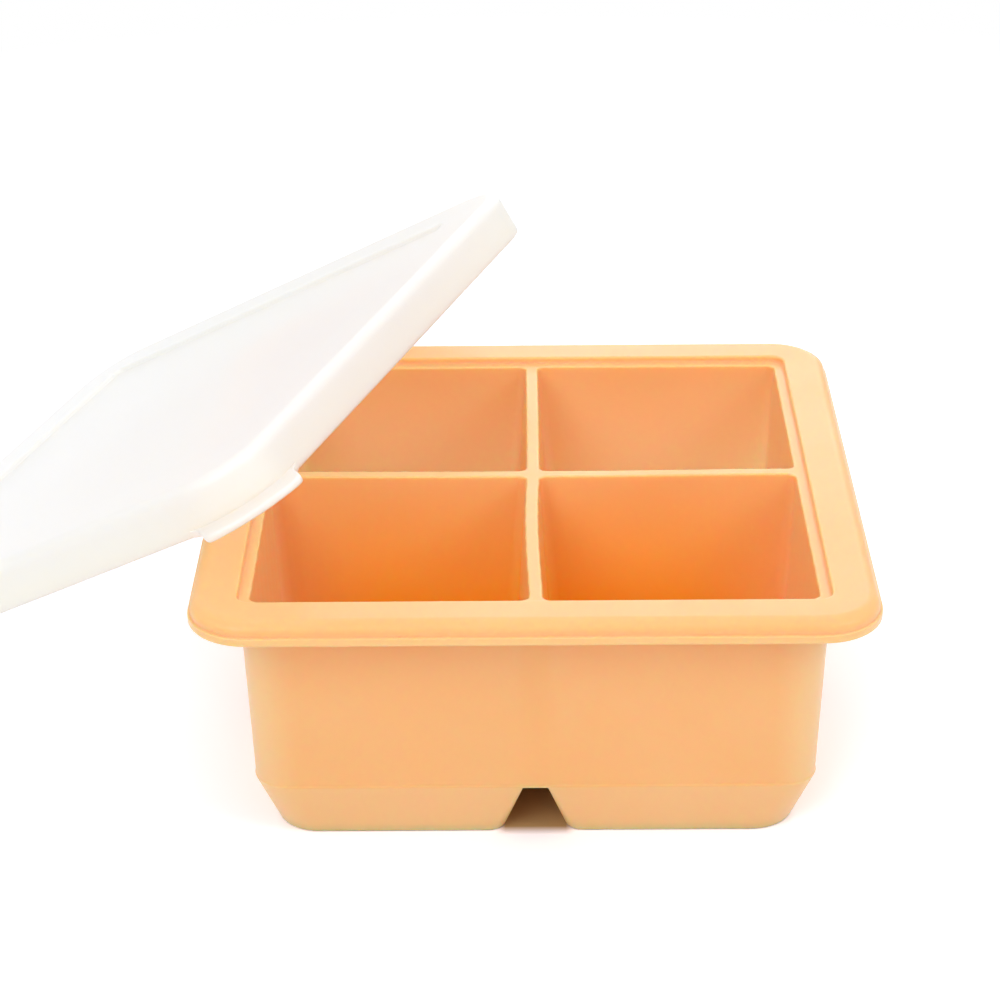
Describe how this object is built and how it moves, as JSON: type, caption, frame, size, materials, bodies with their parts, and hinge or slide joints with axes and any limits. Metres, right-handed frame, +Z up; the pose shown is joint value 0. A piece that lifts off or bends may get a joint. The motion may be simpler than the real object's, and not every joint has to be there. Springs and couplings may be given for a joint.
{
  "type": "baby food freezer tray",
  "caption": "Soft moulded freezer tray with square cells, a broad rim and separate tapered cup bottoms, with its translucent lid taken off and leaning on it.",
  "frame": {"origin": "middle of the footprint of the tray and the leaning lid, on the floor", "axes": "+Z up, +X to the right and +Y to the back as the picture shows it, along the tray's sides"},
  "size_m": [0.2234, 0.1945, 0.0875],
  "materials": {
    "tray_silicone": "satin moulded silicone",
    "lid_silicone": "satin translucent silicone"
  },
  "bodies": {
    "tray": {"tray": "tray_silicone"},
    "lid": {"lid": "lid_silicone"}
  },
  "joints": [
    {"name": "lid_lift", "type": "slide", "parent": "tray", "child": "lid", "axis": [0, 0, 1], "range_m": [0, 0.09]}
  ]
}
